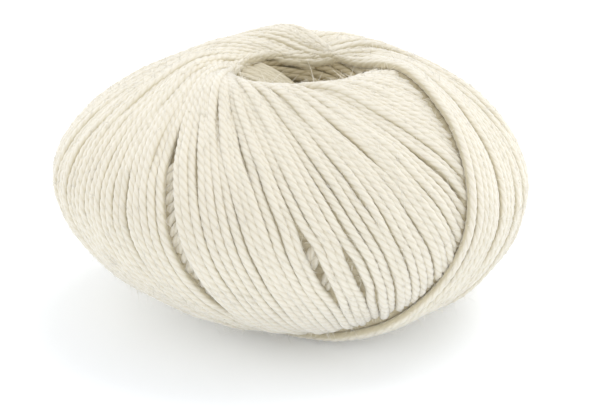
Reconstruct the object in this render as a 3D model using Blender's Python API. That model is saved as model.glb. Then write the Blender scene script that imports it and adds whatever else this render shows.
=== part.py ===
"""A ball of alpaca yarn that rests on its flat spot, as one closed solid.

The yarn is wound in tilted loops. Each loop touches the round hollow in the top of the ball at one point,
and the hollow underneath at the opposite point. The loops turn about the ball's axis, so those laid last
cover one half of it, up to the last loop, and the earlier ones show in the other half. The solid carries
the wound form, the last loop's raised edge and the bundles of turns. The single turns are finer than this.

Lengths are in millimetres and angles in degrees, until the mesh is made in metres.
+X is to the right and +Z up, and the side with the long fan of turns faces -Y.
"""

import bmesh
import bpy
import numpy as np

MM = 0.001

# The wound form, measured from its widest level
BALL_WIDTH = 105.0
RISE = 30.6
DROP = 32.4
ROUNDNESS_ABOVE = 1.77
ROUNDNESS_BELOW = 1.94
# The right side is this much fuller than the middle, and the left side as much flatter
SIDE_FULLNESS = 0.108
LEAN = 2.1
FLAT_SPOT_LEVEL = -30.0

# The loops, by the tilt from upright that leaves a round hollow at each end
LOOP_TILT = 16.5
LAST_LOOP = 41.5
LAST_LOOP_RISE = 1.7
LAST_LOOP_FADE = 26.0
BUNDLE_COUNT = 54
BUNDLE_RIDGE = 1.0
BUNDLE_UNEVENNESS = 0.35
POINTS_PER_BUNDLE = 3
ROWS = 28
ROWS_TO_ENDS = 0.3
UNEVENNESS_SEED = 11

# Wider gaps between turns, by the loop that they follow, and how deep and wide each one is
GAPS = (
    {"loop": 152.0, "depth": 1.5, "half_width": 4.0},
    {"loop": 176.5, "depth": 0.8, "half_width": 3.0},
    {"loop": 185.5, "depth": 0.8, "half_width": 3.0},
    {"loop": 194.5, "depth": 1.0, "half_width": 3.0},
    {"loop": 215.0, "depth": 0.8, "half_width": 3.5},
    {"loop": 262.0, "depth": 0.9, "half_width": 4.0},
    {"loop": 322.0, "depth": 0.8, "half_width": 4.0},
)

# The rim swells where the turns crowd round the hollow, then rolls over into it
RIM_SWELL = 1.2
RIM_SWELL_ANGLE = 26.0
RIM_SWELL_WIDTH = 8.0
LIP_DROP = 3.4
LIP_WIDTH = 4.0

# The mound on the right of the top hollow, where the last turns pile up beside it
MOUND_HEIGHT = 2.5
MOUND_POLAR = 22.0
MOUND_POLAR_WIDTH = 9.0
MOUND_AZIMUTH = -42.0
MOUND_AZIMUTH_WIDTH = 36.0

# The hollows, by depth below the rim and radius, as a profile from rim to floor
TOP_HOLLOW = (
    {"depth": 2.2, "radius": 13.6},
    {"depth": 5.0, "radius": 11.9},
    {"depth": 8.5, "radius": 10.4},
    {"depth": 12.0, "radius": 9.0},
    {"depth": 15.5, "radius": 7.6},
    {"depth": 18.3, "radius": 6.0},
    {"depth": 19.8, "radius": 3.4},
    {"depth": 20.2, "radius": 0.0},
)
BOTTOM_HOLLOW = (
    {"depth": 1.0, "radius": 13.4},
    {"depth": 3.5, "radius": 12.0},
    {"depth": 6.5, "radius": 10.2},
    {"depth": 8.8, "radius": 7.6},
    {"depth": 9.8, "radius": 4.0},
    {"depth": 10.0, "radius": 0.0},
)
HOLLOW_POINTS = 48
HOLLOW_TURNS = 4.0
HOLLOW_RIDGE = 0.35
RINGS_PER_STEP = 2

YARN_COLOUR = (0.86, 0.80, 0.66, 1.0)
YARN_ROUGHNESS = 0.95


def loop_azimuth(travel):
    """Degrees turned about the ball's axis since the loop's top point, for degrees travelled along it."""
    tilt, along = np.radians(LOOP_TILT), np.radians(travel)
    return np.degrees(np.arctan2(np.sin(along), np.sin(tilt) * np.cos(along)))


def loop_polar(travel):
    """Degrees down from the ball's axis, for degrees travelled along a loop from its top point."""
    return np.degrees(np.arccos(np.cos(np.radians(LOOP_TILT)) * np.cos(np.radians(travel))))


def lean_and_flatten(x, y, z):
    """The fuller side, the lean and the flat spot, for points of the upright round ball."""
    z = z * (1.0 + SIDE_FULLNESS * x / (BALL_WIDTH / 2.0))
    lean = np.radians(LEAN)
    leaned_x = x * np.cos(lean) + z * np.sin(lean)
    leaned_z = z * np.cos(lean) - x * np.sin(lean)
    return np.stack([leaned_x, y, np.maximum(leaned_z, FLAT_SPOT_LEVEL)], axis=-1)


def mound(polar, azimuth):
    """How far the pile of last turns stands up beside the top hollow, in millimetres."""
    turned = (azimuth - MOUND_AZIMUTH + 180.0) % 360.0 - 180.0
    closeness = ((polar - MOUND_POLAR) / MOUND_POLAR_WIDTH) ** 2 + (turned / MOUND_AZIMUTH_WIDTH) ** 2
    return MOUND_HEIGHT * np.exp(-closeness)


def round_point(polar, azimuth, lift):
    """(radius, height) on the upright ball, with the point lifted off the wound form along its normal."""
    angle = np.radians(polar)
    above = polar < 90.0
    power = np.where(above, ROUNDNESS_ABOVE, ROUNDNESS_BELOW)
    half_height = np.where(above, RISE, DROP)
    across, up = np.sin(angle), np.cos(angle)
    reach = (np.abs(across) ** power + np.abs(up) ** power) ** (-1.0 / power)
    radius = BALL_WIDTH / 2.0 * across * reach
    height = half_height * up * reach
    swell = RIM_SWELL * np.exp(-(((polar - RIM_SWELL_ANGLE) / RIM_SWELL_WIDTH) ** 2))
    lip = LIP_DROP * np.exp(-(polar - LOOP_TILT) / LIP_WIDTH)
    height = height + swell - lip + mound(polar, azimuth)
    slope_out, slope_up = across * half_height, up * BALL_WIDTH / 2.0
    length = np.hypot(slope_out, slope_up)
    return radius + lift * slope_out / length, height + lift * slope_up / length


def surface_points(polar, azimuth, lift):
    """Points of the leaning ball, for degrees from its axis, degrees about it and a lift in millimetres."""
    radius, height = round_point(polar, azimuth, lift)
    about = np.radians(azimuth)
    return lean_and_flatten(radius * np.cos(about), radius * np.sin(about), height)


def bundle_lifts(loops, travel, unevenness):
    """How far the bundles stand off the wound form: a valley and two crests for each, lower where they crowd."""
    spacing = 360.0 / BUNDLE_COUNT
    steps = (loops - LAST_LOOP) / spacing
    bundle = np.floor(steps + 1e-6).astype(int) % BUNDLE_COUNT
    valley = np.abs(steps - np.round(steps)) < 1e-6
    crowding = np.sin(np.radians(loop_polar(travel)))
    ridge = BUNDLE_RIDGE * unevenness[bundle] * crowding
    lift = np.where(valley, 0.0, ridge)
    lift = lift + LAST_LOOP_RISE * crowding * np.exp(-(loops - LAST_LOOP) / LAST_LOOP_FADE)
    for gap in GAPS:
        closeness = np.exp(-(((loops - gap["loop"]) / gap["half_width"]) ** 2))
        lift = lift - gap["depth"] * crowding * closeness
    return lift


class Skin:
    """Rows of points that are zipped into triangles, each row by a key that rises along it."""

    def __init__(self):
        self.points = []
        self.triangles = []

    def add_row(self, points, keys):
        """Stores a row and returns it as (first index, keys)."""
        first = len(self.points)
        self.points.extend(points)
        return first, np.asarray(keys, float)

    def zip_rows(self, one, other):
        """Joins two rows, always by the diagonal to the nearer next key."""
        (first_a, keys_a), (first_b, keys_b) = one, other
        a = b = 0
        while a < len(keys_a) - 1 or b < len(keys_b) - 1:
            b_is_done = b == len(keys_b) - 1
            if b_is_done or (a < len(keys_a) - 1 and keys_a[a + 1] <= keys_b[b + 1]):
                self.triangles.append((first_a + a, first_b + b, first_a + a + 1))
                a += 1
            else:
                self.triangles.append((first_a + a, first_b + b, first_b + b + 1))
                b += 1


def bundle_keys(travel):
    """The loops that show in the row at this travel: every ridge point up to the edge of the last loop."""
    step = 360.0 / (BUNDLE_COUNT * POINTS_PER_BUNDLE)
    end = LAST_LOOP + 360.0 - 2.0 * loop_azimuth(travel)
    inner = np.arange(LAST_LOOP + step, end - 0.4 * step, step)
    return np.concatenate([[LAST_LOOP], inner, [end]]) if end > LAST_LOOP + 1e-6 else np.array([LAST_LOOP])


def row_travels():
    """Degrees travelled at each row of points, closer together near the two ends of the ball."""
    even = np.linspace(0.0, 1.0, ROWS + 1)
    return 180.0 * (even - ROWS_TO_ENDS * np.sin(2.0 * np.pi * even) / (2.0 * np.pi))


def add_half(skin, below, unevenness):
    """One half of the ball, from its hollow to the last loop. Returns the row of points on the hollow's rim."""
    rows = []
    for travel in row_travels():
        keys = bundle_keys(travel)
        lift = bundle_lifts(keys, travel, unevenness)
        lift[[0, -1]] = 0.0
        polar = loop_polar(travel)
        azimuth = keys + loop_azimuth(travel)
        if below:
            polar, azimuth = 180.0 - polar, azimuth - 180.0
        points = surface_points(np.full(len(keys), polar), azimuth, lift)
        rows.append(skin.add_row(points, keys))
    for one, other in zip(rows, rows[1:]):
        skin.zip_rows(one, other)
    return rows[0]


def hollow_profile(table):
    """(depth, radius) of each ring, with rings between the table's own rows."""
    depth = np.array([row["depth"] for row in table])
    radius = np.array([row["radius"] for row in table])
    at = np.linspace(0, len(table) - 1, RINGS_PER_STEP * (len(table) - 1) + 1)
    places = np.arange(len(table))
    return np.interp(at, places, depth), np.interp(at, places, radius)


def add_hollow(skin, rim_row, table, below):
    """The wall and floor of a hollow, with a shallow spiral ridge for the turns that show inside it."""
    side = -1.0 if below else 1.0
    keys = LAST_LOOP + np.linspace(0.0, 360.0, HOLLOW_POINTS + 1)
    azimuth = keys - 180.0 if below else keys
    about = np.radians(azimuth)
    _, rim_height = round_point(180.0 - LOOP_TILT if below else LOOP_TILT, azimuth, 0.0)
    previous = rim_row
    depths, radii = hollow_profile(table)
    floor_height = rim_height.mean() - side * depths[-1]
    for depth, radius in zip(depths, radii):
        if radius == 0.0:
            centre = lean_and_flatten(np.zeros(1), np.zeros(1), np.array([floor_height]))
            skin.zip_rows(previous, skin.add_row(centre, keys[:1]))
            continue
        turns = 2.0 * np.pi * HOLLOW_TURNS * depth / depths[-1]
        ridge = HOLLOW_RIDGE * np.cos(turns - about + about[0])
        ring = radius - ridge
        height = rim_height + (floor_height - rim_height) * depth / depths[-1]
        points = lean_and_flatten(ring * np.cos(about), ring * np.sin(about), height)
        row = skin.add_row(points, keys)
        skin.zip_rows(previous, row)
        previous = row


def rest_on_origin(points):
    """Moves the points so that the box round them has the middle of its floor at the origin."""
    low, high = points.min(axis=0), points.max(axis=0)
    return points - np.array([(low[0] + high[0]) / 2.0, (low[1] + high[1]) / 2.0, low[2]])


def closed_mesh(name, skin):
    """A mesh in metres with its rows welded where the halves and hollows meet, facing out."""
    mesh = bpy.data.meshes.new(name)
    points = rest_on_origin(np.array(skin.points)) * MM
    mesh.from_pydata(points.tolist(), [], skin.triangles)
    work = bmesh.new()
    work.from_mesh(mesh)
    bmesh.ops.remove_doubles(work, verts=work.verts, dist=1e-6)
    bmesh.ops.dissolve_degenerate(work, edges=work.edges, dist=1e-7)
    bmesh.ops.triangulate(work, faces=work.faces)
    bmesh.ops.recalc_face_normals(work, faces=work.faces)
    work.to_mesh(mesh)
    work.free()
    mesh.shade_smooth()
    return mesh


def yarn_material():
    """Undyed off-white wool, quite matt."""
    material = bpy.data.materials.new("undyed_alpaca")
    material.use_nodes = True
    shader = material.node_tree.nodes["Principled BSDF"]
    shader.inputs["Base Color"].default_value = YARN_COLOUR
    shader.inputs["Roughness"].default_value = YARN_ROUGHNESS
    shader.inputs["Metallic"].default_value = 0.0
    return material


def build_ball(collection):
    """The wound ball, its two halves of bundles and its two hollows in one skin."""
    rng = np.random.default_rng(UNEVENNESS_SEED)
    skin = Skin()
    for below, table in ((False, TOP_HOLLOW), (True, BOTTOM_HOLLOW)):
        unevenness = 1.0 + BUNDLE_UNEVENNESS * rng.uniform(-1.0, 1.0, BUNDLE_COUNT)
        rim_row = add_half(skin, below, unevenness)
        add_hollow(skin, rim_row, table, below)
    ball = bpy.data.objects.new("wound_ball", closed_mesh("wound_ball", skin))
    ball.data.materials.append(yarn_material())
    collection.objects.link(ball)
    return ball


def main():
    """Clears the scene and models the ball in a collection of its own."""
    for old in list(bpy.data.objects):
        bpy.data.objects.remove(old)
    collection = bpy.data.collections.new("alpaca_yarn_ball")
    bpy.context.scene.collection.children.link(collection)
    build_ball(collection)


main()
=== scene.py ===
"""A ball of undyed alpaca yarn, wound turn by turn round its frame and shown in a plain white studio.

The yarn is laid as a winding machine lays it. One strand goes round in tilted loops that touch the rim of the
hollow at the top and of the hollow underneath, and each loop starts a little further round the ball's axis. A
height map of the ball keeps how high the yarn already stands, so each turn rests on those under it. The
stretches that are left showing are made as plied strands, and the buried ones aren't made.

Lengths are in millimetres and angles in degrees, until a mesh is made in metres.
"""

import logging
import math
from dataclasses import dataclass, field
from enum import Enum

import bpy
import numpy as np
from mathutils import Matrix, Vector


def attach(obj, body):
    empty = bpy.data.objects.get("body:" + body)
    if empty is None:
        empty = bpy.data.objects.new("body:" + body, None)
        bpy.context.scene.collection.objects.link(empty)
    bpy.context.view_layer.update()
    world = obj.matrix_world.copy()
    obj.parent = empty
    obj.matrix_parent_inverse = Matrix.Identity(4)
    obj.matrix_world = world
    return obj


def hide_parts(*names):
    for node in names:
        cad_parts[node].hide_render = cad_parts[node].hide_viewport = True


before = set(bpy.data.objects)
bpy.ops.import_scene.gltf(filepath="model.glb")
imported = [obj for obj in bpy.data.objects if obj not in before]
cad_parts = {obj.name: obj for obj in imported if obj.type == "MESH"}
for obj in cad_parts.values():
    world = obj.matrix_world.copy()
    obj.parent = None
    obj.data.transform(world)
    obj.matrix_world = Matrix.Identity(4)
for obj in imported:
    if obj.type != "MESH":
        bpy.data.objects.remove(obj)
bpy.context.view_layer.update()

NODE = "wound_ball"
BODY = "root"
MM = 0.001
BAKE_MAP = "OFBake"
STRAND_MAP = "Strand"
CROWN = "Crown"

Array = np.ndarray
log = logging.getLogger("yarn_ball")


class End(Enum):
    """The two ends of the ball's axis, each by the direction that its hollow opens in."""

    TOP = 1.0
    UNDER = -1.0


class Ply(Enum):
    """The two ways of plying a yarn, by the sign of the turn along the strand."""

    S = -1.0
    Z = 1.0


def wander(at: Array, spacing: float, rng: np.random.Generator) -> Array:
    """A smooth random line: a random value at each multiple of the spacing, eased by 3t^2 - 2t^3 between them.

    Args:
        at: Places along the line.
        spacing: Distance between the random values.
        rng: The seeded source of random values.

    Returns:
        A value from -1 to 1 for each place.
    """
    steps = (at - at.min()) / spacing
    knots = rng.uniform(-1.0, 1.0, int(steps.max()) + 3)
    low = np.floor(steps).astype(int)
    ease = steps - low
    ease = ease * ease * (3.0 - 2.0 * ease)
    return knots[low] * (1.0 - ease) + knots[low + 1] * ease


def unit(vectors: Array) -> Array:
    """The vectors divided by their own lengths."""
    return vectors / np.maximum(np.linalg.norm(vectors, axis=-1, keepdims=True), 1e-12)


def softened(values: Array, reach: float) -> Array:
    """The values along a strand after a bell-shaped running mean whose spread is reach samples."""
    half = int(math.ceil(3.0 * reach))
    weights = np.exp(-0.5 * (np.arange(-half, half + 1) / reach) ** 2)
    return np.convolve(np.pad(values, half, mode="edge"), weights / weights.sum(), mode="valid")


@dataclass(frozen=True)
class WoundForm:
    """The form of the whole ball, from the same sizes as its solid, measured from its widest level."""

    width: float = 105.0
    rise: float = 30.6
    drop: float = 32.4
    roundness_above: float = 1.77
    roundness_below: float = 1.94
    side_fullness: float = 0.108
    lean: float = 2.1
    tilt: float = 16.5
    rim_swell: float = 1.2
    rim_swell_angle: float = 26.0
    rim_swell_width: float = 8.0
    lip_drop: float = 3.4
    lip_width: float = 4.0
    far_lip_drop: float = 1.9
    far_lip_azimuth: float = 62.0
    far_lip_spread: float = 50.0
    dip_depth: float = 1.9
    dip_polar: float = 22.0
    dip_polar_width: float = 9.0
    dip_azimuth: float = 8.0
    dip_azimuth_width: float = 36.0
    middle_in_frame: tuple[float, float, float] = (-0.195, 0.241, 30.0)

    def turned(self, travel: Array, tilt: Array) -> Array:
        """Azimuth since a loop's top point: atan2(sin u, sin a cos u) for travel u along a loop of tilt a."""
        along, lean = np.radians(travel), np.radians(tilt)
        return np.degrees(np.arctan2(np.sin(along), np.sin(lean) * np.cos(along)))

    def polar(self, travel: Array, tilt: Array) -> Array:
        """Angle down from the axis: acos(cos a cos u) for travel u along a loop of tilt a."""
        return np.degrees(np.arccos(np.cos(np.radians(tilt)) * np.cos(np.radians(travel))))

    def upright(self, polar: Array, azimuth: Array, lift: Array) -> tuple[Array, Array]:
        """Radius and height on the upright ball.

        The profile is a superellipse, (r / R)^n + (z / H)^n = 1, whose H and n differ above and below. A swell
        stands on it round the top hollow. It drops away at the hollow's lip, most of all at the back right, and
        dips to the right of the hollow, where the last turns make up the height. The lift is added along the
        plain profile's normal.

        Args:
            polar: Degrees down from the axis.
            azimuth: Degrees about the axis.
            lift: Height over the form.

        Returns:
            The radius from the axis and the height over the widest level.
        """
        angle = np.radians(polar)
        above = polar < 90.0
        power = np.where(above, self.roundness_above, self.roundness_below)
        half_height = np.where(above, self.rise, self.drop)
        across, up = np.sin(angle), np.cos(angle)
        reach = (np.abs(across) ** power + np.abs(up) ** power) ** (-1.0 / power)
        radius = self.width / 2.0 * across * reach
        swell = self.rim_swell * np.exp(-(((polar - self.rim_swell_angle) / self.rim_swell_width) ** 2))
        behind = (azimuth - self.far_lip_azimuth + 180.0) % 360.0 - 180.0
        lip = self.lip_drop + self.far_lip_drop * np.exp(-((behind / self.far_lip_spread) ** 2))
        lip = lip * np.exp(-np.maximum(polar - self.tilt, -0.2) / self.lip_width)
        turned = (azimuth - self.dip_azimuth + 180.0) % 360.0 - 180.0
        away = ((polar - self.dip_polar) / self.dip_polar_width) ** 2 + (turned / self.dip_azimuth_width) ** 2
        height = half_height * up * reach + swell - lip - self.dip_depth * np.exp(-away)
        slope_out, slope_up = across * half_height, up * self.width / 2.0
        length = np.hypot(slope_out, slope_up)
        return radius + lift * slope_out / length, height + lift * slope_up / length

    def leaned(self, radius: Array, azimuth: Array, height: Array) -> Array:
        """Points of the upright ball with its fuller side and its lean: z grows with x, then both turn about Y."""
        about, lean = np.radians(azimuth), math.radians(self.lean)
        x, y = radius * np.cos(about), radius * np.sin(about)
        z = height * (1.0 + self.side_fullness * x / (self.width / 2.0))
        return np.stack(
            [x * math.cos(lean) + z * math.sin(lean), y, z * math.cos(lean) - x * math.sin(lean)], axis=-1
        )

    def placed(self, points: Array, clearance: float) -> Array:
        """Points moved into the frame and kept above the floor by the clearance, eased over its last part.

        Args:
            points: Points of the leaning ball.
            clearance: How far they stay above the floor.

        Returns:
            The points in the frame, in millimetres.
        """
        moved = points + np.array(self.middle_in_frame)
        ease = 0.25
        over = (moved[..., 2] - clearance) / ease
        moved[..., 2] = clearance + ease * np.logaddexp(0.0, over)
        return moved

    def points(self, polar: Array, azimuth: Array, lift: Array, clearance: float = 0.0) -> Array:
        """Points in the frame for polar angle, azimuth and lift over the form."""
        radius, height = self.upright(polar, azimuth, lift)
        return self.placed(self.leaned(radius, azimuth, height), clearance)

    def normals(self, polar: Array, azimuth: Array) -> Array:
        """Directions out of the form, from the step between a lift of 0 and a lift of 1."""
        low, high = (self.leaned(r, azimuth, z) for r, z in
                     (self.upright(polar, azimuth, lift) for lift in (np.zeros_like(polar), np.ones_like(polar))))
        return unit(high - low)


@dataclass(frozen=True)
class Gap:
    """A wider gap that the turns leave, by the loop it follows, its width, and where along the loop it shows."""

    loop: float
    opening: float
    start: float
    stop: float


class HeightMap:
    """How high the yarn stands over the form, by polar angle in rows and azimuth in columns."""

    def __init__(self, form: WoundForm, rows: int = 440, columns: int = 720, edge: float = 13.0) -> None:
        """Starts an empty map.

        Args:
            form: The ball's form, which gives the size of each cell.
            rows: Cells from hollow to hollow.
            columns: Cells about the axis.
            edge: Polar angle of the first row.
        """
        self.columns = columns
        self.polar = np.linspace(edge, 180.0 - edge, rows)
        self.row_step = self.polar[1] - self.polar[0]
        self.column_step = 360.0 / columns
        self.height = np.zeros((rows, columns))
        radius, level = form.upright(self.polar, np.full(rows, 180.0), np.zeros(rows))
        self.polar_scale = np.hypot(np.gradient(radius), np.gradient(level)) / self.row_step
        self.azimuth_scale = np.radians(radius)

    def cells(self, polar: Array, azimuth: Array) -> tuple[Array, Array]:
        """Row and column of the cell nearest to each place."""
        row = np.rint((polar - self.polar[0]) / self.row_step).astype(int)
        column = np.rint(azimuth / self.column_step).astype(int)
        return np.clip(row, 0, len(self.polar) - 1), column % self.columns

    def sideways(self, polar: Array, azimuth: Array) -> tuple[Array, Array, Array]:
        """Directions square to a path along the form.

        Args:
            polar: Polar angles of the path.
            azimuth: Azimuths of the path, without jumps.

        Returns:
            Degrees of polar angle and of azimuth for each millimetre to the side, and the millimetres to the
            side that the path moves for each degree that it turns about the axis.
        """
        down = np.interp(polar, self.polar, self.polar_scale)
        round_ = np.interp(polar, self.polar, self.azimuth_scale)
        along_polar, along_azimuth = down * np.gradient(polar), round_ * np.gradient(azimuth)
        length = np.maximum(np.hypot(along_polar, along_azimuth), 1e-9)
        room = round_ * np.abs(along_polar) / length
        return -along_azimuth / length / down, along_polar / length / round_, room

    def beside(self, polar: Array, azimuth: Array, offsets: Array) -> tuple[Array, Array]:
        """Cells beside a path, at offsets in millimetres square to it along the form.

        Args:
            polar: Polar angles of the path.
            azimuth: Azimuths of the path, without jumps.
            offsets: Distances to the side, one row for the whole path or one for each place.

        Returns:
            Rows and columns, one row of each array for each place of the path.
        """
        step_polar, step_azimuth, _ = self.sideways(polar, azimuth)
        return self.cells(
            polar[:, None] + step_polar[:, None] * offsets, azimuth[:, None] + step_azimuth[:, None] * offsets
        )

    def blurred(self, reach: float) -> Array:
        """The map after a bell-shaped blur that spreads reach millimetres, over the cells that hold yarn only.

        The mean of each row is set aside before the blur and comes back after it, so the pile round the hollows
        stays as steep as it is. The blur is by Fourier terms in each row, then by a table of weights between rows.

        Args:
            reach: Spread of the blur.

        Returns:
            The blurred heights.
        """
        waves = np.arange(self.columns // 2 + 1)
        spread = reach / (self.azimuth_scale * 180.0 / math.pi)
        fade = np.exp(-0.5 * (waves[None, :] * spread[:, None]) ** 2)
        place = np.cumsum(self.polar_scale) * self.row_step
        weights = np.exp(-0.5 * ((place[:, None] - place[None, :]) / reach) ** 2)
        held = (self.height > 0.0).astype(float)
        mean = softened(self.height.sum(axis=1) / np.maximum(held.sum(axis=1), 1.0), 1.0)[:, None]

        def spread_out(table: Array) -> Array:
            """The table after the blur, not yet divided by the share of cells that hold yarn."""
            return weights @ np.fft.irfft(np.fft.rfft(table, axis=1) * fade, n=self.columns, axis=1)

        return mean + spread_out((self.height - mean) * held) / np.maximum(spread_out(held), 1e-6)

    def read(self, table: Array, polar: Array, azimuth: Array) -> Array:
        """A table like the map's, read between its cells by the four that are nearest to each place."""
        row = np.clip((polar - self.polar[0]) / self.row_step, 0.0, len(self.polar) - 1.001)
        column = (azimuth / self.column_step) % self.columns
        low_row, low_column = np.floor(row).astype(int), np.floor(column).astype(int) % self.columns
        down, along = row - low_row, column - np.floor(column)
        next_column = (low_column + 1) % self.columns
        near = table[low_row, low_column] * (1.0 - along) + table[low_row, next_column] * along
        far = table[low_row + 1, low_column] * (1.0 - along) + table[low_row + 1, next_column] * along
        return near * (1.0 - down) + far * down


@dataclass
class Strand:
    """Centre line of yarn in one or more runs, sample by sample."""

    centre: Array
    normal: Array
    run: Array
    along: Array

    def part(self, keep: Array) -> "Strand":
        """The samples where keep is true."""
        return Strand(self.centre[keep], self.normal[keep], self.run[keep], self.along[keep])


@dataclass
class Winding:
    """The one strand as it is wound, from the earliest loop that can show to the last."""

    form: WoundForm = field(default_factory=WoundForm)
    radius: float = 1.07
    packed_radius: float = 0.95
    last_loop: float = 41.5
    loop_step: float = 2.5
    loops: int = 145
    samples: int = 390
    passes_wander: float = 0.36
    fine_wander: float = 0.10
    tilt_drift: float = 0.7
    tilt_wander: float = 0.35
    wide_sweep: float = 2.0
    bend_radius: float = 45.0
    shape_reach: float = 6.5
    ride_up: float = 0.5
    highest: float = 3.9
    uneven: float = 0.12
    uneven_in_crowd: float = 0.9
    tuck: float = 1.2
    tuck_samples: int = 9
    first_kept: float = 282.0
    kept_from: float = 22.0
    late_lift: float = 0.65
    late_fade: float = 45.0
    stand_off: float = 0.5
    clear_of_floor: float = 1.08
    core_depth: float = 1.0
    sunk_at_rims: float = 1.1
    last_rise: float = 1.1
    last_rise_fade: float = 26.0
    seed: int = 7
    bunches: tuple[tuple[float, float, float], ...] = ((9.0, 0.5, 1.0), (23.0, 0.2, 2.2), (41.0, 0.12, 4.0))
    gaps: tuple[Gap, ...] = (
        Gap(120.0, 1.0, 60.0, 95.0),
        Gap(133.0, 1.1, 36.0, 72.0),
        Gap(139.5, 1.5, 70.0, 112.0),
        Gap(153.5, 3.4, 44.0, 120.0),
        Gap(161.5, 1.2, 36.0, 66.0),
        Gap(171.0, 2.0, 20.0, 42.0),
        Gap(178.5, 1.5, 34.0, 58.0),
        Gap(186.0, 2.6, 80.0, 108.0),
        Gap(192.6, 1.9, 86.0, 106.0),
        Gap(205.0, 1.0, 40.0, 75.0),
        Gap(215.5, 1.5, 30.0, 54.0),
        Gap(228.0, 1.0, 60.0, 100.0),
        Gap(262.0, 1.4, 20.0, 60.0),
        Gap(318.0, 1.2, 60.0, 120.0),
    )
    stray_gaps: int = 26

    def place_loops(self) -> None:
        """Works out the polar angle and azimuth of each sample from its travel, wander, bunches and gaps."""
        rng = np.random.default_rng(self.seed)
        travel = np.arange(self.loops * self.samples) * (360.0 / self.samples) - 180.0
        top = self.last_loop + self.loop_step * (self.loops - 0.5 - travel / 360.0)
        top = top + self.passes_wander * wander(travel, 140.0, rng) + self.fine_wander * wander(travel, 24.0, rng)
        for cycles, swing, phase in self.bunches:
            top = top + swing * np.sin(np.radians(cycles * top) + phase)
        within = travel % 360.0
        top = top + sum(self.parting(top, within, gap) for gap in self.every_gap(rng))
        tilt = self.form.tilt + self.tilt_drift * wander(travel, 1500.0, rng)
        tilt = tilt + self.tilt_wander * wander(travel, 290.0, rng)
        wide = np.interp(top - self.last_loop, [0.0, 22.0, 36.0], [1.0, 1.0, 0.0])
        tilt = tilt + self.wide_sweep * wide
        self.tops = top
        self.polar = self.form.polar(within, tilt)
        self.azimuth = np.unwrap(top + self.form.turned(within, tilt), period=360.0)

    def every_gap(self, rng: np.random.Generator) -> list[Gap]:
        """The gaps that show in front, and small stray ones over the rest of the ball."""
        stray = [
            Gap(loop, opening, start, start + length)
            for loop, opening, start, length in zip(
                rng.uniform(self.last_loop, self.last_loop + 360.0, self.stray_gaps),
                rng.uniform(0.5, 1.3, self.stray_gaps),
                rng.uniform(190.0, 300.0, self.stray_gaps),
                rng.uniform(20.0, 60.0, self.stray_gaps),
            )
        ]
        return list(self.gaps) + stray

    def parting(self, top: Array, within: Array, gap: Gap) -> Array:
        """How far the loops on both sides of a gap move away from it: half its width at the gap, and less by
        exp(-distance / 7) further off, within its stretch of the loop and eased at its two ends.

        Args:
            top: Each sample's loop.
            within: Degrees travelled in its own loop.
            gap: The gap.

        Returns:
            Degrees to move about the axis.
        """
        middle, half = (gap.start + gap.stop) / 2.0, (gap.stop - gap.start) / 2.0
        at_middle = round((middle + 180.0) % 360.0 * self.samples / 360.0)
        apart = np.repeat(top.reshape(self.loops, self.samples)[:, at_middle] - gap.loop, self.samples)
        share = np.clip(1.5 - np.abs(within - middle) / half, 0.0, 1.0)
        share = share * share * (3.0 - 2.0 * share)
        return 0.5 * gap.opening * np.sign(apart) * np.exp(-np.abs(apart) / 7.0) * share

    def drawn_tight(self, height: Array, spacing: float) -> Array:
        """The lowest line over the supports that bends no more than the ball does: each sample is raised to the
        mean of two others, m steps off on both sides, less (m step)^2 / 2R, for spans from long to short.

        Args:
            height: The lowest that each sample can lie.
            spacing: Distance between samples.

        Returns:
            The height of the taut strand.
        """
        for reach in (12, 6, 3, 1) * 5:
            padded = np.pad(height, reach, mode="edge")
            sag = (reach * spacing) ** 2 / (2.0 * self.bend_radius)
            height = np.maximum(height, (padded[: -2 * reach] + padded[2 * reach :]) / 2.0 - sag)
        return height

    def lay(self) -> None:
        """Lays the loops in order on the height map, and finds the stretches that are left showing.

        A turn going down rests on the turns going up that it crosses, and one going up on those going down. It
        rides a little way up its own neighbours where they lie too close. Near the hollows the loops crowd.
        There a turn is felt as narrower by the share of its width that it has room for, it adds less height, and
        it stands higher or lower than its neighbours by chance.
        """
        self.map = HeightMap(self.form)
        felt = np.zeros((2, *self.map.height.shape))
        support = np.linspace(-1.0, 1.0, 15)
        cover = np.linspace(-1.0, 1.0, 21)
        underside = self.packed_radius * np.sqrt(1.0 - support**2)
        crown = self.radius * np.sqrt(1.0 - cover**2)
        spacing = 270.0 / self.samples
        fine = np.arange(0.0, self.samples - 1.0, 0.25)
        coarse = np.arange(self.samples)
        goes_down = (coarse >= self.samples / 2).astype(int)[:, None]
        fine_down = (fine >= self.samples / 2).astype(int)[:, None]
        rng = np.random.default_rng(self.seed + 1)
        chance = wander(np.arange(len(self.polar)) * 360.0 / self.samples, 32.0, rng)
        self.height = np.empty(len(self.polar))
        for first in range(0, len(self.polar), self.samples):
            loop = slice(first, first + self.samples)
            polar, azimuth = self.polar[loop], self.azimuth[loop]
            room = self.map.sideways(polar, azimuth)[2] * self.loop_step
            squeeze = np.clip(room / (2.0 * self.radius), 0.18, 1.0)
            packing = np.maximum(squeeze, 0.35)[:, None]
            rows, columns = self.map.beside(polar, azimuth, support * self.packed_radius * squeeze[:, None])
            over = packing * underside - (1.0 - packing) * self.radius
            crossed = (felt[1 - goes_down, rows, columns] + over).max(axis=1)
            beside = (felt[goes_down, rows, columns] + over).max(axis=1)
            height = np.maximum(crossed, np.minimum(beside, crossed + self.ride_up))
            height = np.minimum(softened(self.drawn_tight(height, spacing), 2.0), self.highest)
            late = np.exp(-np.maximum(self.tops[loop] - self.last_loop, 0.0) / self.late_fade)
            swing = chance[loop] * (1.0 - 0.8 * late)
            height = height + self.uneven * swing
            height = height + (1.0 - squeeze) * (self.late_lift * late + self.uneven_in_crowd * swing)
            self.height[loop] = height
            dense = [np.interp(fine, coarse, values) for values in (polar, azimuth, height, squeeze)]
            top = dense[2][:, None] + crown
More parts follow.
